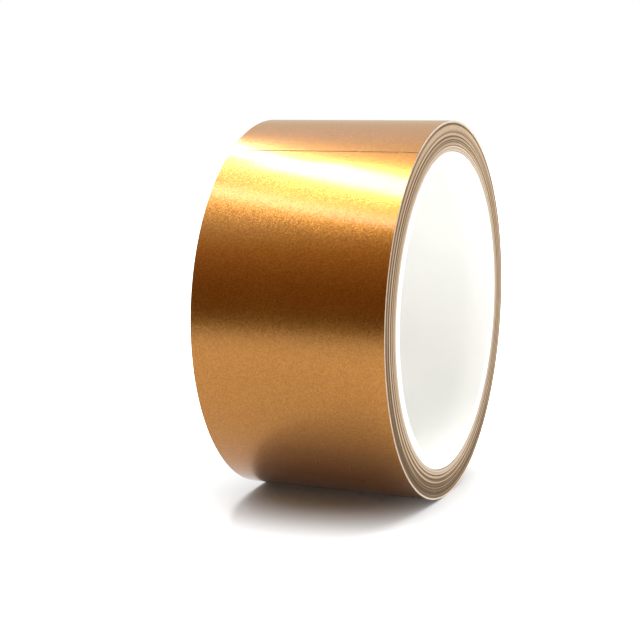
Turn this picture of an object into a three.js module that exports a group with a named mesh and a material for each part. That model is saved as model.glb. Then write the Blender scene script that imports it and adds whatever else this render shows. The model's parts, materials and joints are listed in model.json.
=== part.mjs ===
// A roll of copper foil tape standing on its tread.
// Millimetres, +Z up. The roll's axis runs along X, the origin is on the floor under the middle of the roll.
// The tape is a laminate of three webs: a paper liner inside, an adhesive coat, and the copper foil outside.
// It comes over the top from the back (+Y) and its free end lies on the front of the roll (-Y side).
import * as THREE from "three";

// ---- driving dimensions ----------------------------------------------------------------------
const TAPE_WIDTH = 50;
const ROLL_RADIUS = 49; // over the foil, at the free end
const CORE_BORE_RADIUS = 38.5;
const CORE_OUTER_RADIUS = 41;
const CORE_EDGE_CHAMFER = 0.4;

const STARTER_THICKNESS = 0.15; // double-sided strip around the core, under the first turn
const STARTER_WIDTH = 46;
const STARTER_SLIT_DEG = 3; // the strip's two ends don't quite meet

const LEADER_TURNS = 4; // plain paper turns, next to the core
const LEADER_PITCH = 0.3;
const BULK_TURNS = 5; // each stands for several turns of the real, thinner tape
const LAST_TURN_PITCH = 0.38; // the outermost turn, near the tape's own thickness
const LAYER_GAP = 0.02; // clearance under each web

// How the laminate's thickness is shared, from its inner face (0) to its outer face (1).
const LINER_SHARE = [0, 0.52];
const ADHESIVE_SHARE = [0.52, 0.74];
const FOIL_SHARE = [0.74, 1];

const FACETS_PER_TURN = 40; // a facet lies flat on the floor
const FREE_END_DEG = 31.5; // where the tape ends, from the top of the roll towards the front
const TAB_LENGTH_DEG = 45; // the lifting stretch before the free end
const TAB_SLIT_DEG = 0.6; // clearance between the wound tape and the lifting stretch

// ---- the winding's geometry ------------------------------------------------------------------
const WINDING_START_RADIUS = CORE_OUTER_RADIUS + LAYER_GAP + STARTER_THICKNESS;
const LEADER_OUTER_RADIUS = WINDING_START_RADIUS + LEADER_TURNS * LEADER_PITCH;
const LAMINATE_TURNS = BULK_TURNS + 1;
const TOTAL_TURNS = LEADER_TURNS + LAMINATE_TURNS;
const BULK_PITCH =
  (ROLL_RADIUS - 2 * LAST_TURN_PITCH - LEADER_OUTER_RADIUS) / BULK_TURNS;
const FACET = (2 * Math.PI) / FACETS_PER_TURN;
const FREE_END = THREE.MathUtils.degToRad(FREE_END_DEG);

/** Radius of the inner face of the stack after `turns` turns. */
function stackRadius(turns) {
  const leader = Math.min(turns, LEADER_TURNS);
  const bulk = THREE.MathUtils.clamp(turns - LEADER_TURNS, 0, BULK_TURNS);
  const last = Math.max(turns - LEADER_TURNS - BULK_TURNS, 0);
  return (
    WINDING_START_RADIUS +
    leader * LEADER_PITCH +
    bulk * BULK_PITCH +
    last * LAST_TURN_PITCH
  );
}

/** Radius of a face inside the stack: share 0 is the turn's inner face, share 1 its outer face. */
function faceRadius(turns, share) {
  return THREE.MathUtils.lerp(stackRadius(turns), stackRadius(turns + 1), share);
}

/** Angle from the top of the roll towards the front, after `turns` turns. */
function angleAt(turns) {
  return FREE_END - (TOTAL_TURNS - turns) * 2 * Math.PI;
}

/** Turns wound when the tape reaches `angle`; the last turn ends at FREE_END. */
function turnsAt(angle) {
  return TOTAL_TURNS + (angle - FREE_END) / (2 * Math.PI);
}

/** A true radius carried onto the flat facet that covers `angle`, so the facets' middles hold the size. */
function onFacet(radius, angle) {
  const middle = Math.round(angle / FACET) * FACET;
  return radius / Math.cos(angle - middle);
}

/** Angles of the section's corners between two angles: both ends and every facet corner between them. */
function cornerAngles(from, to) {
  const angles = [from];
  const nearlyZero = 1e-6;
  let corner = (Math.floor(from / FACET - 0.5) + 1.5) * FACET;
  for (; corner < to - nearlyZero; corner += FACET)
    if (corner > from + nearlyZero) angles.push(corner);
  angles.push(to);
  return angles;
}

/** A point of the section at a radius and an angle from the top towards the front. */
function sectionPoint(radius, angle) {
  return new THREE.Vector2(-radius * Math.sin(angle), radius * Math.cos(angle));
}

/** A closed strip section between an inner and an outer radius function of the angle. */
function stripSection(from, to, innerRadius, outerRadius) {
  const angles = cornerAngles(from, to);
  const inner = angles.map((a) => sectionPoint(onFacet(innerRadius(a), a), a));
  const outer = angles.map((a) => sectionPoint(onFacet(outerRadius(a), a), a));
  return { inner, outer };
}

/** Sweeps a strip section across the roll's width: one closed body, faces outwards. */
function strip(section, width) {
  const { inner, outer } = section;
  const positions = [];
  for (const x of [-width / 2, width / 2])
    for (const row of [inner, outer])
      for (const point of row) positions.push(x, point.x, point.y);
  const count = inner.length;
  const [innerLeft, outerLeft, innerRight, outerRight] = [0, 1, 2, 3].map(
    (row) => row * count,
  );
  const triangles = [];
  const quad = (a, b, c, d) => triangles.push(a, b, c, a, c, d);
  for (let i = 0; i + 1 < count; i++) {
    quad(outerLeft + i, outerLeft + i + 1, outerRight + i + 1, outerRight + i);
    quad(innerLeft + i, innerRight + i, innerRight + i + 1, innerLeft + i + 1);
    quad(innerRight + i, outerRight + i, outerRight + i + 1, innerRight + i + 1);
    quad(innerLeft + i, innerLeft + i + 1, outerLeft + i + 1, outerLeft + i);
  }
  const end = count - 1;
  quad(innerLeft, outerLeft, outerRight, innerRight);
  quad(innerLeft + end, innerRight + end, outerRight + end, outerLeft + end);
  const geometry = new THREE.BufferGeometry();
  geometry.setAttribute(
    "position",
    new THREE.Float32BufferAttribute(positions, 3),
  );
  geometry.setIndex(triangles);
  geometry.computeVertexNormals();
  return geometry;
}

/** One web of the tape between two counts of turns, filling `share` of the stack's thickness. */
function web(fromTurns, toTurns, share) {
  const section = stripSection(
    angleAt(fromTurns),
    angleAt(toTurns),
    (angle) => faceRadius(turnsAt(angle), share[0]) + LAYER_GAP,
    (angle) => faceRadius(turnsAt(angle), share[1]),
  );
  return strip(section, TAPE_WIDTH);
}

// ---- materials -------------------------------------------------------------------------------
const whitePlastic = new THREE.MeshStandardMaterial({ color: 0xf4f4ef, roughness: 0.45, metalness: 0 });
const clearGlue = new THREE.MeshStandardMaterial({ color: 0xd9d2bd, roughness: 0.6, metalness: 0 });
const creamPaper = new THREE.MeshStandardMaterial({ color: 0xe0cdb8, roughness: 0.8, metalness: 0 });
const linerPaper = new THREE.MeshStandardMaterial({ color: 0xc9b096, roughness: 0.75, metalness: 0 });
const amberAdhesive = new THREE.MeshStandardMaterial({ color: 0x8a6a45, roughness: 0.5, metalness: 0 });
const copperFoil = new THREE.MeshStandardMaterial({ color: 0xc9803f, roughness: 0.25, metalness: 1 });

/** A named mesh of one piece. */
function part(name, geometry, material) {
  const mesh = new THREE.Mesh(geometry, material);
  mesh.name = name;
  return mesh;
}

// ---- the pieces ------------------------------------------------------------------------------

/** White tube that the tape is wound on, its four edges chamfered. */
function coreTube() {
  const half = TAPE_WIDTH / 2;
  const edge = CORE_EDGE_CHAMFER;
  const toCorner = 1 / Math.cos(FACET / 2);
  const inner = CORE_BORE_RADIUS * toCorner;
  const outer = CORE_OUTER_RADIUS * toCorner;
  const profile = [
    [inner + edge, -half],
    [outer - edge, -half],
    [outer, edge - half],
    [outer, half - edge],
    [outer - edge, half],
    [inner + edge, half],
    [inner, half - edge],
    [inner, edge - half],
    [inner + edge, -half],
  ].map(([radius, along]) => new THREE.Vector2(radius, along));
  const geometry = new THREE.LatheGeometry(profile, FACETS_PER_TURN, FACET / 2);
  geometry.rotateZ(-Math.PI / 2);
  return part("core_tube", geometry, whitePlastic);
}

/** Thin double-sided strip around the core that holds the first turn. */
function starterStrip() {
  const slit = THREE.MathUtils.degToRad(STARTER_SLIT_DEG);
  const section = stripSection(
    FREE_END,
    FREE_END + 2 * Math.PI - slit,
    () => CORE_OUTER_RADIUS + LAYER_GAP,
    () => WINDING_START_RADIUS,
  );
  return part("starter_strip", strip(section, STARTER_WIDTH), clearGlue);
}

/** Plain paper turns between the core and the first turn of foil. */
function leaderWrap() {
  return part("leader_wrap", web(0, LEADER_TURNS, [0, 1]), creamPaper);
}

/** The wound tape, up to the slit where the lifting stretch starts: one body for each web. */
function windings() {
  const end = turnsAt(FREE_END - THREE.MathUtils.degToRad(TAB_LENGTH_DEG + TAB_SLIT_DEG / 2));
  return [
    part("liner_winding", web(LEADER_TURNS, end, LINER_SHARE), linerPaper),
    part("adhesive_winding", web(LEADER_TURNS, end, ADHESIVE_SHARE), amberAdhesive),
    part("foil_winding", web(LEADER_TURNS, end, FOIL_SHARE), copperFoil),
  ];
}

/** The lifting stretch at the free end: the liner's end, and the foil's end with its adhesive. */
function freeEnd() {
  const start = turnsAt(FREE_END - THREE.MathUtils.degToRad(TAB_LENGTH_DEG - TAB_SLIT_DEG / 2));
  return [
    part("liner_tab", web(start, TOTAL_TURNS, LINER_SHARE), linerPaper),
    part("adhesive_tab", web(start, TOTAL_TURNS, ADHESIVE_SHARE), amberAdhesive),
    part("foil_tab", web(start, TOTAL_TURNS, FOIL_SHARE), copperFoil),
  ];
}

// ---- the assembly ----------------------------------------------------------------------------
/** Height of the roll's axis: the tread's radius at the lowest corner of its bottom facet. */
function axisHeight() {
  return faceRadius(turnsAt(FACET / 2 - Math.PI), 1);
}

const roll = new THREE.Group();
roll.add(coreTube(), starterStrip(), leaderWrap(), ...windings(), ...freeEnd());
roll.position.z = axisHeight();

const tapeRoll = new THREE.Group();
tapeRoll.add(roll);

export default tapeRoll;
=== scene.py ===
"""A roll of copper foil tape on a white core, standing on its tread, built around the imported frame.

The frame sets the main sizes: the core, the outside of the roll, the hinge line of the lifting stretch
and the tape's free end. One Geometry Nodes tree winds every web of the tape from a handful of sizes.
Angles are measured round the roll's axis, from its top towards the front (-Y).
"""

import json
import logging
import math
from dataclasses import dataclass, field
from enum import Enum
from typing import Any, Sequence

import bmesh
import bpy
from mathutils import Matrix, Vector

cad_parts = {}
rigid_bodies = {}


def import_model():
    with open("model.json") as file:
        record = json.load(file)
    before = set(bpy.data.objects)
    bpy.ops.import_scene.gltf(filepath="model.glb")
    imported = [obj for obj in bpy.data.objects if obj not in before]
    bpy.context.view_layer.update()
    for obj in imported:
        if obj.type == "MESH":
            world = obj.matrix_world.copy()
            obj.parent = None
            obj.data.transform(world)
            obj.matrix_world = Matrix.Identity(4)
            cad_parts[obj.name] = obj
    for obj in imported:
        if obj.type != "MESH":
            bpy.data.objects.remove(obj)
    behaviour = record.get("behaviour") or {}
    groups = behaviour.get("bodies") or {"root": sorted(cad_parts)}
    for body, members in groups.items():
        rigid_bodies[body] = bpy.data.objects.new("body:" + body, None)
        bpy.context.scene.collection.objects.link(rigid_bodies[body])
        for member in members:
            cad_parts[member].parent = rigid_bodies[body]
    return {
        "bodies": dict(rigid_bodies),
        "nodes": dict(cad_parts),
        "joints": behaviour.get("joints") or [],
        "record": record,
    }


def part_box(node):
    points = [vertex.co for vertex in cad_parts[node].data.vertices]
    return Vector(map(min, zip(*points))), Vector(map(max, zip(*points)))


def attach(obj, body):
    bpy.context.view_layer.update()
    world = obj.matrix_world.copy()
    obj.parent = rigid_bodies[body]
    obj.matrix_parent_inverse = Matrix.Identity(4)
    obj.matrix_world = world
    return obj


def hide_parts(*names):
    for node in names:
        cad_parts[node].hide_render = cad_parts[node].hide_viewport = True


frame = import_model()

MM = 0.001
TURN = 2 * math.pi
NOISE_LOW, NOISE_HIGH = 0.3, 0.7  # the range that a noise texture mostly stays in
WELD = 1e-7  # metres; corners closer than this are one corner

log = logging.getLogger("tape_roll")


# ---- node trees ----


class NodeSketch:
    """Adds nodes to a tree, sets their sockets and properties, and links them left to right."""

    COLUMN = 190

    def __init__(self, tree: bpy.types.NodeTree) -> None:
        """Starts an empty sketch.

        Args:
            tree: the node tree that the nodes go into.
        """
        self.tree = tree
        tree.nodes.clear()

    def add(self, kind: str, sockets: dict | None = None, **properties: Any) -> bpy.types.Node:
        """Adds one node.

        Args:
            kind: the node's type name.
            sockets: input sockets by name or index; an output socket is linked, another value is set.
            properties: properties of the node itself, such as operation.

        Returns:
            The new node.
        """
        node = self.tree.nodes.new(kind)
        node.location = (self.COLUMN * len(self.tree.nodes), 0)
        for name, value in properties.items():
            setattr(node, name, value)
        for key, value in (sockets or {}).items():
            self.feed(node.inputs[key], value)
        return node

    def feed(self, socket: bpy.types.NodeSocket, value: Any) -> None:
        """Links an output socket to an input socket, or sets the input's own value.

        Args:
            socket: the input socket.
            value: an output socket, or the value itself.
        """
        if isinstance(value, bpy.types.NodeSocket):
            self.tree.links.new(value, socket)
        else:
            socket.default_value = value

    def math(self, operation: str, *values: Any) -> bpy.types.NodeSocket:
        """Adds a Math node.

        Args:
            operation: the node's operation.
            values: up to three values or output sockets.

        Returns:
            The result's socket.
        """
        node = self.add("ShaderNodeMath", operation=operation)
        for socket, value in zip(node.inputs, values):
            self.feed(socket, value)
        return node.outputs[0]

    def remap(self, value: Any, low: float, high: float, to_low: float = 0.0,
              to_high: float = 1.0) -> bpy.types.NodeSocket:
        """Maps a value from one range to another, clamped, with a smooth step.

        Args:
            value: the value or output socket to map.
            low: where the range starts.
            high: where the range ends.
            to_low: the result at its start.
            to_high: the result at its end.

        Returns:
            The result's socket.
        """
        node = self.add("ShaderNodeMapRange", {"Value": value, "From Min": low, "From Max": high,
                                               "To Min": to_low, "To Max": to_high},
                        interpolation_type="SMOOTHSTEP")
        return node.outputs["Result"]

    def mix(self, factor: Any, first: Any, second: Any) -> bpy.types.NodeSocket:
        """Mixes two colours.

        Args:
            factor: share of the second colour.
            first: the colour at 0.
            second: the colour at 1.

        Returns:
            The mixed colour's socket.
        """
        node = self.add("ShaderNodeMix", data_type="RGBA")
        self.feed(node.inputs[0], factor)
        self.feed(node.inputs[6], first)
        self.feed(node.inputs[7], second)
        return node.outputs[2]


class Socket(Enum):
    """Kinds of named socket on a node group."""

    FLOAT = "NodeSocketFloat"
    INT = "NodeSocketInt"
    VECTOR = "NodeSocketVector"
    MATERIAL = "NodeSocketMaterial"
    GEOMETRY = "NodeSocketGeometry"


def new_group(name: str, kind: str, inputs: dict[str, Socket],
              outputs: dict[str, Socket]) -> bpy.types.NodeTree:
    """Makes an empty node group with named sockets.

    Args:
        name: the group's name.
        kind: the tree's type name.
        inputs: input names and their kinds.
        outputs: output names and their kinds.

    Returns:
        The node group.
    """
    tree = bpy.data.node_groups.new(name, kind)
    for in_out, sockets in (("INPUT", inputs), ("OUTPUT", outputs)):
        for label, socket in sockets.items():
            tree.interface.new_socket(name=label, in_out=in_out, socket_type=socket.value)
    return tree


# ---- sizes ----


@dataclass(frozen=True)
class RollFrame:
    """The roll's sizes, in metres and radians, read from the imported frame."""

    axis_height: float
    half_width: float
    core_radius: float
    hinge_angle: float
    hinge_radius: float
    free_end: float

    @classmethod
    def read(cls, packed: dict) -> "RollFrame":
        """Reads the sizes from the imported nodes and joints.


        Returns:
            The roll's sizes.
        """
        core_low, core_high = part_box("core_tube")
        tab_low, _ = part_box("foil_tab")
        axis_height = (core_low.z + core_high.z) / 2
        hinge = next(j["pos_m"] for j in packed["joints"] if j["name"] == "end_lift")
        return cls(
            axis_height=axis_height,
            half_width=core_high.x,
            core_radius=core_high.y,
            hinge_angle=math.atan2(-hinge[1], hinge[2] - axis_height),
            hinge_radius=math.hypot(hinge[1], hinge[2] - axis_height),
            free_end=math.atan2(-tab_low.y, tab_low.z - axis_height),
        )


@dataclass(frozen=True)
class Laminate:
    """The tape's three webs, from the inside out, in metres."""

    liner: float = 0.065 * MM
    adhesive: float = 0.025 * MM
    foil: float = 0.03 * MM
    air: float = 0.006 * MM

    @property
    def pitch(self) -> float:
        """Thickness that one turn adds to the roll."""
        return self.liner + self.adhesive + self.foil


# ---- shared shader groups ----


class SharedGroups:
    """Shader node groups that several finishes place, each built once."""

    CUT_FULL, CUT_NONE = 0.5, 0.8  # how squarely a face may look away from the axis and still be cut
    _made: dict[str, bpy.types.NodeTree] = {}

    @classmethod
    def get(cls, name: str) -> bpy.types.NodeTree:
        """Gives a shared group, building it the first time that it is asked for.

        Args:
            name: the group's name.

        Returns:
            The group.
        """
        if name not in cls._made:
            cls._made[name] = getattr(cls, "_" + name)()
        return cls._made[name]

    @staticmethod
    def _wound_streaks() -> bpy.types.NodeTree:
        """Streaks round the roll's axis.

        Returns:
            The group: coarse and fine streaks, the radius, and a mask of the faces cut across the roll.
        """
        tree = new_group(
            "wound_streaks", "ShaderNodeTree",
            {"Vector": Socket.VECTOR, "Normal": Socket.VECTOR, "Axis Height": Socket.FLOAT,
             "Coarse Width": Socket.FLOAT, "Fine Width": Socket.FLOAT, "Arc Change": Socket.FLOAT},
            {"Coarse": Socket.FLOAT, "Fine": Socket.FLOAT, "Radius": Socket.FLOAT,
             "Cut Face": Socket.FLOAT})
        sketch = NodeSketch(tree)
        given = sketch.add("NodeGroupInput").outputs
        parts = sketch.add("ShaderNodeSeparateXYZ", {"Vector": given["Vector"]}).outputs
        up = sketch.math("SUBTRACT", parts["Z"], given["Axis Height"])
        squares = sketch.math("ADD", sketch.math("MULTIPLY", parts["Y"], parts["Y"]),
                              sketch.math("MULTIPLY", up, up))
        radius = sketch.math("SQRT", squares)
        outward_y = sketch.math("DIVIDE", parts["Y"], radius)
        outward_z = sketch.math("DIVIDE", up, radius)
        outward = sketch.add("ShaderNodeCombineXYZ", {"X": 0.0, "Y": outward_y, "Z": outward_z})
        facing = sketch.add("ShaderNodeVectorMath", {0: given["Normal"], 1: outward.outputs[0]},
                            operation="DOT_PRODUCT").outputs["Value"]
        cut_face = sketch.remap(sketch.math("ABSOLUTE", facing), SharedGroups.CUT_FULL,
                                SharedGroups.CUT_NONE, 1.0, 0.0)
        results = {}
        for label in ("Coarse", "Fine"):
            across = sketch.math("DIVIDE", radius, given[label + " Width"])
            place = sketch.add("ShaderNodeCombineXYZ", {
                "X": across,
                "Y": sketch.math("MULTIPLY", outward_y, given["Arc Change"]),
                "Z": sketch.math("MULTIPLY", outward_z, given["Arc Change"])})
            noise = sketch.add("ShaderNodeTexNoise", {"Vector": place.outputs[0], "Scale": 1.0,
                                                      "Detail": 1.0, "Roughness": 0.5})
            results[label] = noise.outputs[0]
        sketch.add("NodeGroupOutput", {**results, "Radius": radius, "Cut Face": cut_face})
        return tree

    @staticmethod
    def _metal_flake() -> bpy.types.NodeTree:
        """Tiny flakes that each tip the surface a little their own way.

        Returns:
            The group: the tipped normal, and a shade of its own for each flake.
        """
        tree = new_group(
            "metal_flake", "ShaderNodeTree",
            {"Vector": Socket.VECTOR, "Flake Size": Socket.FLOAT, "Tilt": Socket.FLOAT},
            {"Normal": Socket.VECTOR, "Shade": Socket.FLOAT})
        sketch = NodeSketch(tree)
        given = sketch.add("NodeGroupInput").outputs
        scale = sketch.math("DIVIDE", 1.0, given["Flake Size"])
        cells = sketch.add("ShaderNodeTexVoronoi", {"Vector": given["Vector"], "Scale": scale})
        centred = sketch.add("ShaderNodeVectorMath", {0: cells.outputs["Color"], 1: (0.5, 0.5, 0.5)},
                             operation="SUBTRACT")
        tipped = sketch.add("ShaderNodeVectorMath", {0: centred.outputs[0], "Scale": given["Tilt"]},
                            operation="SCALE")
        normal = sketch.add("ShaderNodeNewGeometry").outputs["Normal"]
        summed = sketch.add("ShaderNodeVectorMath", {0: tipped.outputs[0], 1: normal}, operation="ADD")
        unit = sketch.add("ShaderNodeVectorMath", {0: summed.outputs[0]}, operation="NORMALIZE")
        shade = sketch.add("ShaderNodeSeparateXYZ", {0: cells.outputs["Color"]}).outputs["X"]
        sketch.add("NodeGroupOutput", {"Normal": unit.outputs[0], "Shade": shade})
        return tree

    @staticmethod
    def _handling() -> bpy.types.NodeTree:
        """Faint marks of handling.

        Returns:
            The group: a broad cloudy mask and a fine speckle.
        """
        tree = new_group(
            "handling", "ShaderNodeTree",
            {"Vector": Socket.VECTOR, "Cloud Size": Socket.FLOAT, "Speckle Size": Socket.FLOAT},
            {"Cloud": Socket.FLOAT, "Speckle": Socket.FLOAT})
        sketch = NodeSketch(tree)
        given = sketch.add("NodeGroupInput").outputs
        results = {}
        for label, detail in (("Cloud", 3.0), ("Speckle", 1.0)):
            scale = sketch.math("DIVIDE", 1.0, given[label + " Size"])
            noise = sketch.add("ShaderNodeTexNoise", {"Vector": given["Vector"], "Scale": scale,
                                                      "Detail": detail})
            results[label] = noise.outputs[0]
        sketch.add("NodeGroupOutput", results)
        return tree


# ---- finishes ----

Colour = tuple[float, float, float, float]


def place_group(sketch: NodeSketch, name: str, values: dict[str, Any]) -> bpy.types.NodeOutputs:
    """Places a shared group in a material.

    Args:
        sketch: the material's nodes.
        name: the group's name.
        values: the group's inputs by name.

    Returns:
        The group's outputs.
    """
    node = sketch.add("ShaderNodeGroup", node_tree=SharedGroups.get(name))
    for label, value in values.items():
        sketch.feed(node.inputs[label], value)
    return node.outputs


_MADE_FINISHES: dict["Finish", bpy.types.Material] = {}  # the frame has materials of its own


@dataclass(frozen=True)
class Finish:
    """A procedural material; each kind of finish dresses the shader in its own way."""

    name: str

    def material(self) -> bpy.types.Material:
        """Makes the material, or returns the one made before.

        Returns:
            The finish as a Blender material.
        """
        if self in _MADE_FINISHES:
            return _MADE_FINISHES[self]
        made = _MADE_FINISHES[self] = bpy.data.materials.new(self.name)
        made.use_nodes = True
        sketch = NodeSketch(made.node_tree)
        shader = sketch.add("ShaderNodeBsdfPrincipled")
        place = sketch.add("ShaderNodeTexCoord").outputs["Object"]
        self.dress(sketch, shader.inputs, place)
        sketch.add("ShaderNodeOutputMaterial", {"Surface": shader.outputs[0]})
        return made

    def dress(self, sketch: NodeSketch, sockets: Any, place: bpy.types.NodeSocket) -> None:
        """Dresses the shader; each finish does it in its own way.

        Args:
            sketch: the material's nodes.
            sockets: the shader's inputs.
            place: object coordinates.
        """
        raise NotImplementedError


@dataclass(frozen=True)
class EdgeLook:
    """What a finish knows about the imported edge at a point."""

    tone: bpy.types.NodeSocket
    fine: bpy.types.NodeSocket
    cut_face: bpy.types.NodeSocket


@dataclass(frozen=True)
class EdgeTones:
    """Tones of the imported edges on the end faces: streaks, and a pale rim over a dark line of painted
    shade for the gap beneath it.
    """

    dark: Colour
    light: Colour
    rim: Colour = (0.82, 0.7, 0.56, 1)
    # painted shade: a dark line for the gap just inside the pale rim
    painted_gap_shade: Colour = (0.2, 0.14, 0.09, 1)
    rim_radius: float = 48.3 * MM
    rim_blur: float = 0.1 * MM
    painted_gap_shade_depth: float = 0.6 * MM
    coarse_width: float = 0.62 * MM
    fine_width: float = 0.3 * MM
    arc_change: float = 0.25
    coarse_share: float = 0.6
    light_from: float = 0.45
    light_full: float = 0.56

    def place(self, sketch: NodeSketch, place: bpy.types.NodeSocket, axis_height: float) -> EdgeLook:
        """Adds the streaks to a finish.

        Args:
            sketch: the finish's nodes.
            place: object coordinates.
            axis_height: height of the roll's axis.

        Returns:
            The streaked colour, the fine streaks and the mask of the cut faces.
        """
        normal = sketch.add("ShaderNodeTexCoord").outputs["Normal"]
        streaks = place_group(sketch, "wound_streaks", {
            "Vector": place, "Normal": normal, "Axis Height": axis_height,
            "Coarse Width": self.coarse_width, "Fine Width": self.fine_width,
            "Arc Change": self.arc_change})
        blend = sketch.math("ADD", sketch.math("MULTIPLY", streaks["Coarse"], self.coarse_share),
                            sketch.math("MULTIPLY", streaks["Fine"], 1 - self.coarse_share))
        tone = sketch.mix(sketch.remap(blend, self.light_from, self.light_full), self.dark, self.light)
        radius = streaks["Radius"]
        # painted shade: a dark band just inside the pale rim, standing for the gap's shadow
        low = self.rim_radius - self.painted_gap_shade_depth
        under = sketch.remap(radius, low - self.rim_blur, low)
        outer = sketch.remap(radius, self.rim_radius - self.rim_blur, self.rim_radius)
        tone = sketch.mix(outer, sketch.mix(under, tone, self.painted_gap_shade), self.rim)
        return EdgeLook(tone, streaks["Fine"], streaks["Cut Face"])


LAMINATE_EDGE = EdgeTones(dark=(0.13, 0.082, 0.042, 1), light=(0.55, 0.4, 0.26, 1))
BACKING_EDGE = EdgeTones(dark=(0.16, 0.1, 0.055, 1), light=(0.68, 0.52, 0.36, 1))
LEADER_EDGE = EdgeTones(dark=(0.44, 0.35, 0.26, 1), light=(0.68, 0.57, 0.45, 1))


@dataclass(frozen=True)
class CopperFilm(Finish):
    """Lacquered copper foil: a soft metallic layer of fine flake under a clear, glossy coat."""

    copper: Colour = (0.47, 0.186, 0.024, 1)
    copper_pale: Colour = (0.61, 0.263, 0.043, 1)
    cut_edge: EdgeTones = LAMINATE_EDGE
    axis_height: float = 48.78 * MM
    flake_size: float = 0.3 * MM
    flake_tilt: float = 0.042
    cloud_size: float = 14 * MM
    speckle_size: float = 0.5 * MM
    roughness: float = 0.26
    roughness_swing: float = 0.015
    edge_roughness: float = 0.3
    coat_roughness: float = 0.12
    coat_ior: float = 1.45
    specular: float = 0.1

    def dress(self, sketch: NodeSketch, sockets: Any, place: bpy.types.NodeSocket) -> None:
        """Dresses the flake layer, its cut edges and the lacquer over it.

        Args:
            sketch: the material's nodes.
            sockets: the shader's inputs.
            place: object coordinates.
        """
        flake = place_group(sketch, "metal_flake", {"Vector": place, "Flake Size": self.flake_size,
                                                    "Tilt": self.flake_tilt})
        marks = place_group(sketch, "handling", {"Vector": place, "Cloud Size": self.cloud_size,
                                                 "Speckle Size": self.speckle_size})
        edge = self.cut_edge.place(sketch, place, self.axis_height)
        side = edge.cut_face
        tone = sketch.mix(flake["Shade"], self.copper, self.copper_pale)
        sketch.feed(sockets["Base Color"], sketch.mix(side, tone, edge.tone))
        film = sketch.remap(side, 0.0, 1.0, 1.0, 0.0)
        sketch.feed(sockets["Metallic"], film)
        sketch.feed(sockets["Coat Weight"], film)
        cloud = sketch.remap(marks["Cloud"], NOISE_LOW, NOISE_HIGH, self.roughness - self.roughness_swing,
                             self.roughness + self.roughness_swing)
        sketch.feed(sockets["Roughness"], sketch.math("MULTIPLY_ADD", side, self.edge_roughness, cloud))
        sketch.feed(sockets["Normal"], flake["Normal"])
        sockets["Coat Roughness"].default_value = self.coat_roughness
        sockets["Coat IOR"].default_value = self.coat_ior
        sockets["Specular IOR Level"].default_value = self.specular


@dataclass(frozen=True)
class WoundEdge(Finish):
    """A paper web: its packed edges show as streaks round the roll, paler in some turns than others."""

    tones: EdgeTones = BACKING_EDGE
    axis_height: float = 48.78 * MM
    roughness: float = 0.6
    roughness_swing: float = 0.1
    specular: float = 0.12
    bump_strength: float = 0.3
    bump_depth: float = 0.06 * MM

    def dress(self, sketch: NodeSketch, sockets: Any, place: bpy.types.NodeSocket) -> None:
        """Dresses the streaked edge colour and its slight unevenness.

        Args:
            sketch: the material's nodes.
            sockets: the shader's inputs.
            place: object coordinates.
        """
        edge = self.tones.place(sketch, place, self.axis_height)
        sketch.feed(sockets["Base Color"], edge.tone)
        sockets["Specular IOR Level"].default_value = self.specular
        sketch.feed(sockets["Roughness"], sketch.remap(
            edge.fine, NOISE_LOW, NOISE_HIGH, self.roughness - self.roughness_swing,
            self.roughness + self.roughness_swing))
        bump = sketch.add("ShaderNodeBump", {"Height": edge.fine, "Strength": self.bump_strength,
                                             "Distance": self.bump_depth})
        sketch.feed(sockets["Normal"], bump.outputs[0])


@dataclass(frozen=True)
class WhitePlastic(Finish):
    """Satin white tube wall, faintly cloudy, that glows a little more towards its two ends.

    The glow is painted light: an emission that brightens the wall, a little more towards its two ends.
    Emission Strength 0 takes it away.
    """

    white: Colour = (0.93, 0.93, 0.91, 1)
    shade: Colour = (0.89, 0.9, 0.87, 1)
    cloud_size: float = 22 * MM
    cloud_low: float = 0.35
    cloud_high: float = 0.65
    speckle_size: float = 0.35 * MM
    roughness: float = 0.42
    roughness_swing: float = 0.05
    bump_strength: float = 0.08
    bump_depth: float = 0.03 * MM
    # painted light: the emission colours and strengths that brighten the wall, deep_glow in the middle and
    # rim_glow at the ends
    no_glow: Colour = (0, 0, 0, 1)
    glow: Colour = (1, 1, 0.95, 1)
    deep_glow: float = 0.06
    rim_glow: float = 0.17
    rim_from: float = 15 * MM
    rim_full: float = 24.5 * MM

    def dress(self, sketch: NodeSketch, sockets: Any, place: bpy.types.NodeSocket) -> None:
        """Dresses the wall's tone, satin, faint unevenness and glow.

        Args:
            sketch: the material's nodes.
            sockets: the shader's inputs.
            place: object coordinates.
        """
        marks = place_group(sketch, "handling", {"Vector": place, "Cloud Size": self.cloud_size,
                                                 "Speckle Size": self.speckle_size})
        cloud = sketch.remap(marks["Cloud"], self.cloud_low, self.cloud_high)
        sketch.feed(sockets["Base Color"], sketch.mix(cloud, self.white, self.shade))
        sketch.feed(sockets["Roughness"], sketch.remap(
            marks["Speckle"], NOISE_LOW, NOISE_HIGH, self.roughness - self.roughness_swing,
            self.roughness + self.roughness_swing))
        bump = sketch.add("ShaderNodeBump", {"Height": marks["Speckle"], "Strength": self.bump_strength,
                                             "Distance": self.bump_depth})
        sketch.feed(sockets["Normal"], bump.outputs[0])
        # painted light: emission that brightens the wall, growing from the middle towards its two ends
        along = sketch.add("ShaderNodeSeparateXYZ", {0: place}).outputs["X"]
        painted_glow_share = sketch.remap(sketch.math("ABSOLUTE", along), self.rim_from, self.rim_full,
                               self.deep_glow, self.rim_glow)
        sketch.feed(sockets["Emission Color"], sketch.mix(painted_glow_share, self.no_glow, self.glow))
        sockets["Emission Strength"].default_value = 1.0


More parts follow.
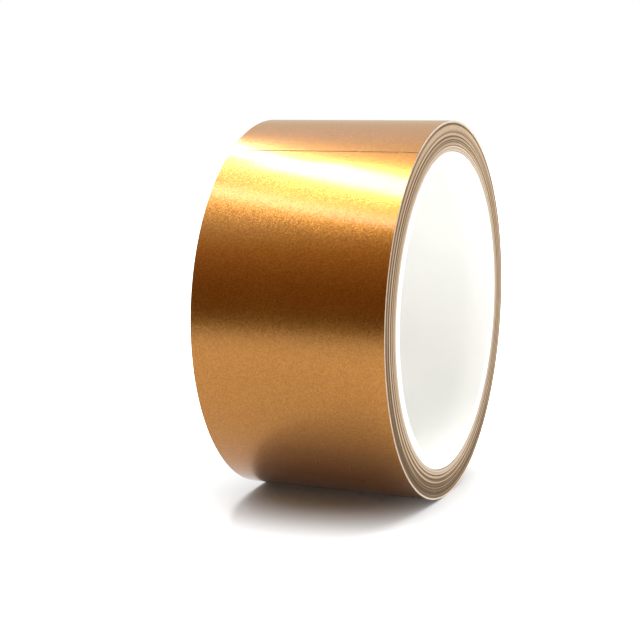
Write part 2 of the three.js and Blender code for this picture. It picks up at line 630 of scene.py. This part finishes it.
@dataclass(frozen=True)
class ClearGlue(Finish):
    """Tacky adhesive: amber, smooth in the coat, streaked like its neighbours at its cut edge."""

    thick: Colour = (0.30, 0.20, 0.11, 1)
    thin: Colour = (0.42, 0.30, 0.18, 1)
    cut_edge: EdgeTones = LAMINATE_EDGE
    axis_height: float = 48.78 * MM
    cloud_size: float = 3 * MM
    speckle_size: float = 0.4 * MM
    smooth: float = 0.25
    rough: float = 0.5
    specular: float = 0.2

    def dress(self, sketch: NodeSketch, sockets: Any, place: bpy.types.NodeSocket) -> None:
        """Dresses the coat's uneven thickness and gloss.

        Args:
            sketch: the material's nodes.
            sockets: the shader's inputs.
            place: object coordinates.
        """
        marks = place_group(sketch, "handling", {"Vector": place, "Cloud Size": self.cloud_size,
                                                 "Speckle Size": self.speckle_size})
        edge = self.cut_edge.place(sketch, place, self.axis_height)
        face = sketch.mix(marks["Cloud"], self.thick, self.thin)
        sockets["Specular IOR Level"].default_value = self.specular
        sketch.feed(sockets["Base Color"], sketch.mix(edge.cut_face, face, edge.tone))
        sketch.feed(sockets["Roughness"], sketch.remap(marks["Speckle"], NOISE_LOW, NOISE_HIGH,
                                                       self.smooth, self.rough))


@dataclass(frozen=True)
class StudioFloor(Finish):
    """White sweep: white to look at, duller in what it lights, with painted shade in front and after a
    bounce, and a painted glow seen only by the camera.
    """

    white: Colour = (0.9, 0.92, 0.94, 1)
    dull: Colour = (0.8, 0.81, 0.82, 1)
    # painted shade: the floor darker in front of the roll and after a bounce, standing for the dim room
    front: Colour = (0.12, 0.11, 0.1, 1)
    under: Colour = (0.12, 0.11, 0.1, 1)
    front_from: float = 0.1
    front_full: float = 0.5
    # painted light: a glow, seen only by the camera, that grows with distance from the roll and sets how
    # far its shadow reaches
    glow_centre: tuple[float, float, float] = (-8 * MM, 0.0, 0.0)
    glow_from: float = 0.02
    glow_full: float = 0.088
    first_bounce: float = 1.5
    roughness: float = 0.9
    specular: float = 0.1

    def dress(self, sketch: NodeSketch, sockets: Any, place: bpy.types.NodeSocket) -> None:
        """Dresses the sweep's white, its painted dim front and its painted glow, seen only by the camera,
        that grows away from the roll.

        Args:
            sketch: the material's nodes.
            sockets: the shader's inputs.
            place: object coordinates.
        """
        parts = sketch.add("ShaderNodeSeparateXYZ", {0: place}).outputs
        in_front = sketch.math("MULTIPLY", parts["Y"], -1.0)
        nearer = sketch.remap(in_front, self.front_from, self.front_full)
        path = sketch.add("ShaderNodeLightPath").outputs
        seen = path["Is Camera Ray"]
        later = sketch.math("GREATER_THAN", path["Ray Depth"], self.first_bounce)
        lit = sketch.mix(later, sketch.mix(nearer, self.dull, self.front), self.under)
        sketch.feed(sockets["Base Color"], sketch.mix(seen, lit, self.white))
        sockets["Roughness"].default_value = self.roughness
        sockets["Specular IOR Level"].default_value = self.specular
        # painted light: emission seen only by the camera, growing away from the roll
        offset = sketch.add("ShaderNodeVectorMath", {0: place, 1: self.glow_centre}, operation="SUBTRACT")
        away = sketch.add("ShaderNodeVectorMath", {0: offset.outputs[0]}, operation="LENGTH")
        sockets["Emission Color"].default_value = (1, 1, 1, 1)
        glow = sketch.remap(away.outputs["Value"], self.glow_from, self.glow_full)
        sketch.feed(sockets["Emission Strength"], sketch.math("MULTIPLY", glow, seen))


# ---- the winding tree ----


@dataclass(frozen=True)
class WebSizes:
    """What the winding tree is asked for, for one web or stretch of web."""

    start_angle: float
    end_angle: float
    end_radius: float
    pitch: float
    width: float
    thickness: float
    steps: int
    wander: float = 0.0
    wander_rate: float = 0.35
    seed: int = 1


class WindingTree:
    """Geometry Nodes tree that winds a flat web into a spiral round the roll's axis."""

    INPUTS = {
        "Axis Height": Socket.FLOAT, "Start Angle": Socket.FLOAT, "End Angle": Socket.FLOAT,
        "End Radius": Socket.FLOAT, "Pitch": Socket.FLOAT, "Width": Socket.FLOAT, "Thickness": Socket.FLOAT,
        "Steps": Socket.INT, "Wander": Socket.FLOAT, "Wander Rate": Socket.FLOAT, "Seed": Socket.INT,
        "Finish": Socket.MATERIAL,
    }
    SEED_STEP = 7.3  # how far apart two seeds look up the same noise
    DRIFT_DETAIL = 2.0

    def __init__(self) -> None:
        """Builds the tree once; every web sets its own inputs on it."""
        self.tree = new_group("wind_web", "GeometryNodeTree",
                              {"Geometry": Socket.GEOMETRY, **self.INPUTS}, {"Geometry": Socket.GEOMETRY})
        self.keys = {item.name: item.identifier for item in self.tree.interface.items_tree
                     if item.in_out == "INPUT"}
        self._build()

    def _build(self) -> None:
        """Draws the tree: a line of points, bent into the spiral, swept with the web's own section."""
        sketch = NodeSketch(self.tree)
        given = sketch.add("NodeGroupInput").outputs
        points = sketch.math("ADD", given["Steps"], 1.0)
        line = sketch.add("GeometryNodeMeshLine", {"Count": points, "Offset": (0, MM, 0)})
        curve = sketch.add("GeometryNodeMeshToCurve", {0: line.outputs[0]})
        share = sketch.math("DIVIDE", sketch.add("GeometryNodeInputIndex").outputs[0], given["Steps"])
        span = sketch.math("SUBTRACT", given["End Angle"], given["Start Angle"])
        angle = sketch.math("MULTIPLY_ADD", share, span, given["Start Angle"])
        left = sketch.math("DIVIDE", sketch.math("SUBTRACT", given["End Angle"], angle), TURN)
        inwards = sketch.math("MULTIPLY", left, given["Pitch"])
        radius = sketch.math("SUBTRACT", given["End Radius"], inwards)
        drift = self._drift(sketch, given, left)
        across = sketch.math("MULTIPLY", radius, sketch.math("SINE", angle))
        up = sketch.math("MULTIPLY", radius, sketch.math("COSINE", angle))
        place = sketch.add("ShaderNodeCombineXYZ", {"X": drift, "Y": sketch.math("MULTIPLY", across, -1.0),
                                                    "Z": sketch.math("ADD", up, given["Axis Height"])})
        bent = sketch.add("GeometryNodeSetPosition", {"Geometry": curve.outputs[0],
                                                      "Position": place.outputs[0]})
        faced = sketch.add("GeometryNodeSetCurveNormal", {"Curve": bent.outputs[0]}, mode="FREE")
        faced.inputs["Normal"].default_value = (1, 0, 0)
        section = sketch.add("GeometryNodeCurvePrimitiveQuadrilateral",
                             {"Width": given["Width"], "Height": given["Thickness"]}, mode="RECTANGLE")
        swept = sketch.add("GeometryNodeCurveToMesh", {"Curve": faced.outputs[0],
                                                       "Profile Curve": section.outputs[0],
                                                       "Fill Caps": True})
        real = sketch.add("GeometryNodeRealizeInstances", {0: swept.outputs[0]})
        dressed = sketch.add("GeometryNodeSetMaterial", {"Geometry": real.outputs[0],
                                                         "Material": given["Finish"]})
        sketch.add("NodeGroupOutput", {"Geometry": dressed.outputs[0]})

    @classmethod
    def _drift(cls, sketch: NodeSketch, given: Any, turns: bpy.types.NodeSocket) -> bpy.types.NodeSocket:
        """Wanders the web a little along the axis as it is wound.

        Args:
            sketch: the tree's nodes.
            given: the tree's inputs.
            turns: turns left to the web's end.

        Returns:
            The socket of the drift along the axis.
        """
        first = sketch.math("MULTIPLY", given["Seed"], cls.SEED_STEP)
        where = sketch.math("MULTIPLY_ADD", turns, given["Wander Rate"], first)
        noise = sketch.add("ShaderNodeTexNoise", {"W": where, "Scale": 1.0, "Detail": cls.DRIFT_DETAIL},
                           noise_dimensions="1D")
        centred = sketch.math("SUBTRACT", noise.outputs[0], 0.5)
        return sketch.math("MULTIPLY", sketch.math("MULTIPLY", centred, 2.0), given["Wander"])

    def wind(self, name: str, sizes: WebSizes, axis_height: float, finish: Finish) -> bpy.types.Object:
        """Winds one web into a plain mesh object.

        Args:
            name: the piece's name.
            sizes: the web's sizes.
            axis_height: height of the roll's axis.
            finish: the web's material.

        Returns:
            The wound web, with no modifier left on it.
        """
        holder = bpy.data.objects.new(name + "_holder", bpy.data.meshes.new(name + "_holder"))
        bpy.context.scene.collection.objects.link(holder)
        modifier = holder.modifiers.new("wind_web", "NODES")
        modifier.node_group = self.tree
        values = {
            "Axis Height": axis_height, "Start Angle": sizes.start_angle, "End Angle": sizes.end_angle,
            "End Radius": sizes.end_radius, "Pitch": sizes.pitch, "Width": sizes.width,
            "Thickness": sizes.thickness, "Steps": sizes.steps, "Wander": sizes.wander,
            "Wander Rate": sizes.wander_rate, "Seed": sizes.seed, "Finish": finish.material(),
        }
        for label, value in values.items():
            modifier[self.keys[label]] = value
        holder.update_tag()
        graph = bpy.context.evaluated_depsgraph_get()
        graph.update()
        mesh = bpy.data.meshes.new_from_object(holder.evaluated_get(graph))
        bpy.data.objects.remove(holder)
        mesh.name = name
        return finish_mesh(name, mesh, finish)


def finish_mesh(name: str, mesh: bpy.types.Mesh, finish: Finish,
                sharp_deg: float = 35.0) -> bpy.types.Object:
    """Closes, turns outwards and shades a mesh, and puts it in the scene.

    Args:
        name: the piece's name.
        mesh: the mesh.
        finish: the piece's material.
        sharp_deg: edges that bend more than this stay crisp.

    Returns:
        The object that holds the mesh.
    """
    work = bmesh.new()
    work.from_mesh(mesh)
    bmesh.ops.remove_doubles(work, verts=work.verts, dist=WELD)
    if work.calc_volume(signed=True) < 0:
        bmesh.ops.reverse_faces(work, faces=work.faces)
    work.to_mesh(mesh)
    work.free()
    if finish.material().name not in mesh.materials:
        mesh.materials.clear()
        mesh.materials.append(finish.material())
    mesh.shade_smooth()
    mesh.set_sharp_from_angle(angle=math.radians(sharp_deg))
    piece = bpy.data.objects.new(name, mesh)
    bpy.context.scene.collection.objects.link(piece)
    return piece


def hand_over(piece: bpy.types.Object, body: str, slot: str, *nodes: str) -> None:
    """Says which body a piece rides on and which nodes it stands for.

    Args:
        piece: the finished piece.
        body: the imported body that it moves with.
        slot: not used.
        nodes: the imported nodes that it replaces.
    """
    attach(piece, body)
    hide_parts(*nodes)
    log.info("%s rides on %s, %d faces", piece.name, body, len(piece.data.polygons))


# ---- the core ----


@dataclass
class Core:
    """The white tube and the glued strip that holds the tape's first turn."""

    sizes: RollFrame
    winder: WindingTree
    wall: float = 2.5 * MM
    edge_round: float = 0.45 * MM
    round_steps: int = 5
    facets: int = 240
    strip_thickness: float = 0.15 * MM
    strip_width: float = 46 * MM
    strip_slit: float = math.radians(3)
    strip_gap: float = 0.005 * MM
    strip_steps: int = 120
    sharp_deg: float = 60.0

    def _section(self) -> list[tuple[float, float]]:
        """Draws the tube's wall with its rounded edges.

        Returns:
            Its closed outline, as radius and place along the axis.
        """
        inner = self.sizes.core_radius - self.wall
        outer = self.sizes.core_radius
        half = self.sizes.half_width
        small = self.edge_round
        corners = [(inner, -half, 180), (outer, -half, 270), (outer, half, 0), (inner, half, 90)]
        outline = []
        for radius, along, from_deg in corners:
            centre_r = radius + small * (1 if radius == inner else -1)
            centre_x = along + small * (1 if along < 0 else -1)
            for step in range(self.round_steps + 1):
                turn = math.radians(from_deg + 90 * step / self.round_steps)
                outline.append((centre_r + small * math.cos(turn), centre_x + small * math.sin(turn)))
        return outline

    def tube(self, finish: Finish) -> bpy.types.Object:
        """Turns the wall's outline round the axis.

        Args:
            finish: the tube's material.

        Returns:
            The tube.
        """
        outline = self._section()
        work = bmesh.new()
        rings = []
        for facet in range(self.facets):
            angle = TURN * facet / self.facets
            rings.append([
                work.verts.new((x, -r * math.sin(angle), self.sizes.axis_height + r * math.cos(angle)))
                for r, x in outline])
        count = len(outline)
        for here, after in zip(rings, rings[1:] + rings[:1]):
            for i in range(count):
                j = (i + 1) % count
                work.faces.new((here[i], here[j], after[j], after[i]))
        mesh = bpy.data.meshes.new("core")
        work.to_mesh(mesh)
        work.free()
        return finish_mesh("core", mesh, finish, self.sharp_deg)

    def strip(self, finish: Finish) -> bpy.types.Object:
        """Winds the glued strip round the core, with a slit between its ends.

        Args:
            finish: the strip's material.

        Returns:
            The strip.
        """
        web = WebSizes(
            start_angle=0.0, end_angle=TURN - self.strip_slit, pitch=0.0, steps=self.strip_steps,
            end_radius=self.sizes.core_radius + self.strip_thickness / 2 + self.strip_gap,
            width=self.strip_width, thickness=self.strip_thickness)
        return self.winder.wind("glued_strip", web, self.sizes.axis_height, finish)

    def build(self) -> None:
        """Builds the tube and the strip, and hands them over."""
        tube = self.tube(WhitePlastic("white_plastic"))
        hand_over(tube, "roll", "core", "core_tube")
        strip = self.strip(ClearGlue("strip_glue", thick=(0.7, 0.65, 0.55, 1), thin=(0.8, 0.76, 0.68, 1)))
        hand_over(strip, "roll", "starter_glue", "starter_strip")


# ---- the tape ----


@dataclass
class Tape:
    """The wound tape: plain leader turns, then the laminate's three webs, and the lifting stretch."""

    sizes: RollFrame
    winder: WindingTree
    laminate: Laminate = field(default_factory=Laminate)
    leader_inner_gap: float = 0.19 * MM
    leader_depth: float = 1.2 * MM
    leader_turns: int = 10
    leader_trim: float = 0.05 * MM
    leader_wander: float = 0.04 * MM
    leader_seed: int = 3
    foil_trim: float = 0.02 * MM
    adhesive_trim: float = 0.12 * MM
    steps_per_turn: int = 240
    fewest_steps: int = 24
    tuck: float = 0.095 * MM
    wander: float = 0.1 * MM
    seed: int = 5

    def outer_radius(self, angle: float) -> float:
        """Finds how far out the foil lies, a hair under the hinge line.

        Args:
            angle: where on the last turn.

        Returns:
            The radius over the foil there.
        """
        turned = (angle - self.sizes.hinge_angle) / TURN
        return self.sizes.hinge_radius - self.tuck + self.laminate.pitch * turned

    def _leader_outer(self) -> float:
        """Radius over the plain leader turns."""
        return self.sizes.core_radius + self.leader_inner_gap + self.leader_depth

    def leader(self, finish: Finish) -> bpy.types.Object:
        """Winds the plain paper turns next to the core.

        Args:
            finish: the paper's material.

        Returns:
            The leader.
        """
        pitch = self.leader_depth / self.leader_turns
        web = WebSizes(
            start_angle=self.sizes.free_end - self.leader_turns * TURN, end_angle=self.sizes.free_end,
            end_radius=self._leader_outer() - pitch / 2, pitch=pitch,
            width=2 * (self.sizes.half_width - self.leader_trim), thickness=pitch - self.laminate.air,
            steps=self.leader_turns * self.steps_per_turn, wander=self.leader_wander,
            seed=self.leader_seed)
        return self.winder.wind("leader_turns", web, self.sizes.axis_height, finish)

    def _layers(self) -> list[tuple[str, float, float, float]]:
        """Lists the laminate's webs, from the outside in.

        Returns:
            Each web's name, thickness, depth of its middle below the outer face, and trim of its width.
        """
        lam = self.laminate
        return [
            ("foil", lam.foil, lam.foil / 2, self.foil_trim),
            ("adhesive", lam.adhesive, lam.foil + lam.adhesive / 2, self.adhesive_trim),
            ("liner", lam.liner, lam.foil + lam.adhesive + lam.liner / 2, 0.0),
        ]

    def stretch(self, prefix: str, layer: tuple[str, float, float, float], start: float, end: float,
                finish: Finish) -> bpy.types.Object:
        """Winds one web between two angles.

        Args:
            prefix: what the piece's name starts with.
            layer: the web's name, thickness, depth and trim.
            start: angle where the stretch starts.
            end: angle where it ends.
            finish: the web's material.

        Returns:
            The stretch of web.
        """
        name, thickness, depth, trim = layer
        steps = round((end - start) / TURN * self.steps_per_turn)
        web = WebSizes(
            start_angle=start, end_angle=end, end_radius=self.outer_radius(end) - depth,
            pitch=self.laminate.pitch, width=2 * (self.sizes.half_width - self.wander - trim),
            thickness=thickness - self.laminate.air, steps=max(self.fewest_steps, steps),
            wander=self.wander, seed=self.seed)
        return self.winder.wind(prefix + name, web, self.sizes.axis_height, finish)

    def build(self) -> None:
        """Builds every web and hands it over."""
        sizes = self.sizes
        turns = (self.outer_radius(sizes.free_end) - self._leader_outer()) / self.laminate.pitch
        start = sizes.free_end - turns * TURN
        finishes = {
            "foil": CopperFilm("copper_film", axis_height=sizes.axis_height),
            "adhesive": ClearGlue("adhesive_coat", axis_height=sizes.axis_height),
            "liner": WoundEdge("backing_paper", axis_height=sizes.axis_height),
        }
        slots = {"foil": "copper_foil", "adhesive": "adhesive", "liner": "liner_paper"}
        tab_bodies = {"foil": "foil_end", "adhesive": "foil_end", "liner": "liner_end"}
        pale = WoundEdge("plain_paper", axis_height=sizes.axis_height, tones=LEADER_EDGE)
        hand_over(self.leader(pale), "roll", "leader_paper", "leader_wrap")
        for layer in self._layers():
            name = layer[0]
            wound = self.stretch("wound_", layer, start, sizes.hinge_angle, finishes[name])
            hand_over(wound, "roll", slots[name], name + "_winding")
            tab = self.stretch("lifting_", layer, sizes.hinge_angle, sizes.free_end, finishes[name])
            hand_over(tab, tab_bodies[name], slots[name], name + "_tab")


# ---- the studio ----


@dataclass(frozen=True)
class Panel:
    """A soft rectangular light; its place is measured from the roll's centre, in metres."""

    name: str
    place: tuple[float, float, float]
    size: tuple[float, float]
    radiance: float
    turn_deg: float = 0.0
    faces_roll: bool = False

    def build(self, centre: Vector) -> None:
        """Hangs the panel, facing the floor or the roll.

        Args:
            centre: the roll's centre.
        """
        data = bpy.data.lights.new(self.name, "AREA")
        data.shape = "RECTANGLE"
        data.size, data.size_y = self.size
        data.energy = self.radiance * math.pi * self.size[0] * self.size[1]
        light = bpy.data.objects.new(self.name, data)
        light.location = centre + Vector(self.place)
        if self.faces_roll:
            light.rotation_euler = Vector(self.place).to_track_quat("Z", "Y").to_euler()
        else:
            light.rotation_euler = (0, 0, math.radians(self.turn_deg))
        bpy.context.scene.collection.objects.link(light)


@dataclass(frozen=True)
class SkyBand:
    """The room's light at one angle from overhead (0) to the front (90), below (180) or the back (-90)."""

    angle_deg: float
    strength: float
    tint: tuple[float, float, float] = (1.0, 1.0, 1.0)


@dataclass
class Studio:
    """White sweep, soft panels, camera, and a sky that lights dull surfaces less from the front."""

    sizes: RollFrame
    azimuth_deg: float = 22.85
    elevation_deg: float = 8.42
    distance: float = 383.8 * MM
    focal_mm: float = 81.49
    slide_left: float = 10.63 * MM
    slide_down: float = 3.74 * MM
    sensor_mm: float = 36.0
    near_clip: float = 0.01
    floor_radius: float = 3.0
    floor_segments: int = 96
    dim_from_deg: float = 25.0
    dim_full_deg: float = 65.0
    dim_share: float = 0.85

    def camera(self) -> None:
        """Sets the camera at the viewing angle, slid so that the roll sits a little right and high."""
        azimuth = math.radians(self.azimuth_deg)
        elevation = math.radians(self.elevation_deg)
        back = Vector((math.sin(azimuth) * math.cos(elevation), -math.cos(azimuth) * math.cos(elevation),
                       math.sin(elevation)))
        right = Vector((math.cos(azimuth), math.sin(azimuth), 0))
        up = back.cross(right)
        centre = Vector((0, 0, self.sizes.axis_height))
        data = bpy.data.cameras.new("camera")
        data.lens = self.focal_mm
        data.sensor_width = self.sensor_mm
        data.clip_start = self.near_clip
        camera = bpy.data.objects.new("camera", data)
        camera.location = centre + back * self.distance - right * self.slide_left - up * self.slide_down
        camera.rotation_euler = back.to_track_quat("Z", "Y").to_euler()
        bpy.context.scene.collection.objects.link(camera)
        bpy.context.scene.camera = camera

    def floor(self) -> None:
        """Lays the white sweep."""
        work = bmesh.new()
        bmesh.ops.create_circle(work, cap_ends=True, segments=self.floor_segments,
                                radius=self.floor_radius)
        mesh = bpy.data.meshes.new("sweep")
        work.to_mesh(mesh)
        work.free()
        mesh.materials.append(StudioFloor("studio_floor").material())
        sweep = bpy.data.objects.new("sweep", mesh)
        bpy.context.scene.collection.objects.link(sweep)

    def bands(self) -> list[SkyBand]:
        """Lists the room's light round the roll.

        Returns:
            The bands: pale behind and overhead, dim and warm in front.
        """
        creamy = (1.0, 0.86, 0.66)
        warm = (1.0, 0.62, 0.28)
        warmer = (1.0, 0.52, 0.16)
        return [
            SkyBand(-180, 0.45), SkyBand(-100, 0.64, creamy), SkyBand(-62, 0.76, creamy),
            SkyBand(-38, 0.95), SkyBand(-5, 0.9), SkyBand(30, 0.75), SkyBand(50, 0.42, warm),
            SkyBand(72, 0.2, warmer), SkyBand(95, 0.15, warmer), SkyBand(180, 0.45),
        ]

    def sky(self) -> None:
        """Lights from all round by the angle about the axis, dimmed in front for diffuse light."""
        world = bpy.data.worlds.new("studio")
        bpy.context.scene.world = world
        world.use_nodes = True
        sketch = NodeSketch(world.node_tree)
        direction = sketch.add("ShaderNodeTexCoord").outputs["Generated"]
        parts = sketch.add("ShaderNodeSeparateXYZ", {0: direction}).outputs
        angle = sketch.math("ARCTAN2", sketch.math("MULTIPLY", parts["Y"], -1.0), parts["Z"])
        share = sketch.math("MULTIPLY_ADD", angle, 1 / TURN, 0.5)
        ramp = sketch.add("ShaderNodeValToRGB", {0: share})
        bands = self.bands()
        steps = ramp.color_ramp.elements
        while len(steps) < len(bands):
            steps.new(0.5)
        peak = max(band.strength for band in bands)
        for step, band in zip(steps, bands):
            step.position = band.angle_deg / 360 + 0.5
            step.color = (*(band.strength / peak * channel for channel in band.tint), 1)
        path = sketch.add("ShaderNodeLightPath").outputs
        seen = path["Is Camera Ray"]
        front = sketch.remap(angle, math.radians(self.dim_from_deg), math.radians(self.dim_full_deg),
                             0.0, self.dim_share)
        kept = sketch.math("SUBTRACT", 1.0, sketch.math("MULTIPLY", front, path["Is Diffuse Ray"]))
        glow = sketch.add("ShaderNodeBackground", {
            "Color": ramp.outputs[0], "Strength": sketch.math("MULTIPLY", kept, peak)})
        white = sketch.add("ShaderNodeBackground", {"Color": (1, 1, 1, 1), "Strength": 1.0})
        both = sketch.add("ShaderNodeMixShader", {0: seen, 1: glow.outputs[0], 2: white.outputs[0]})
        sketch.add("ShaderNodeOutputWorld", {"Surface": both.outputs[0]})

    def panels(self) -> list[Panel]:
        """Lists the lights.

        Returns:
            Two tubes and a lipped soft box overhead, two low fills in front, and a lamp behind.
        """
        tube_turn = -66.0
        box_turn = -56.0
        return [
            Panel("tube_far", (-0.286, 0.179, 0.55), (0.4, 0.027), 18, turn_deg=tube_turn),
            Panel("tube_near", (-0.173, -0.066, 0.55), (0.32, 0.058), 15, turn_deg=tube_turn),
            Panel("soft_box", (-0.286, -0.023, 0.552), (0.72, 0.29), 0.8, turn_deg=box_turn),
            Panel("box_lip", (-0.243, -0.25, 0.55), (0.34, 0.045), 4.5, turn_deg=tube_turn),
            Panel("end_fill", (0.7, -0.05, -0.028), (0.5, 0.04), 26, faces_roll=True),
            Panel("bore_fill", (0.45, -0.52, -0.028), (0.4, 0.04), 30, faces_roll=True),
            Panel("back_lamp", (0.3, 0.6, 0.5), (0.4, 0.4), 8, faces_roll=True),
        ]

    def build(self) -> None:
        """Builds the whole studio."""
        self.camera()
        self.floor()
        self.sky()
        centre = Vector((0, 0, self.sizes.axis_height))
        for panel in self.panels():
            panel.build(centre)
            log.info("light %s", panel.name)
        bpy.context.scene.view_settings.view_transform = "Standard"


# ---- the whole roll ----


def main() -> None:
    """Builds the roll and its studio."""
    logging.basicConfig(level=logging.INFO, format="%(message)s")
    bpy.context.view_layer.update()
    sizes = RollFrame.read(frame)
    winder = WindingTree()
    Studio(sizes).build()
    Core(sizes, winder).build()
    Tape(sizes, winder).build()


if __name__ == "__main__":
    main()
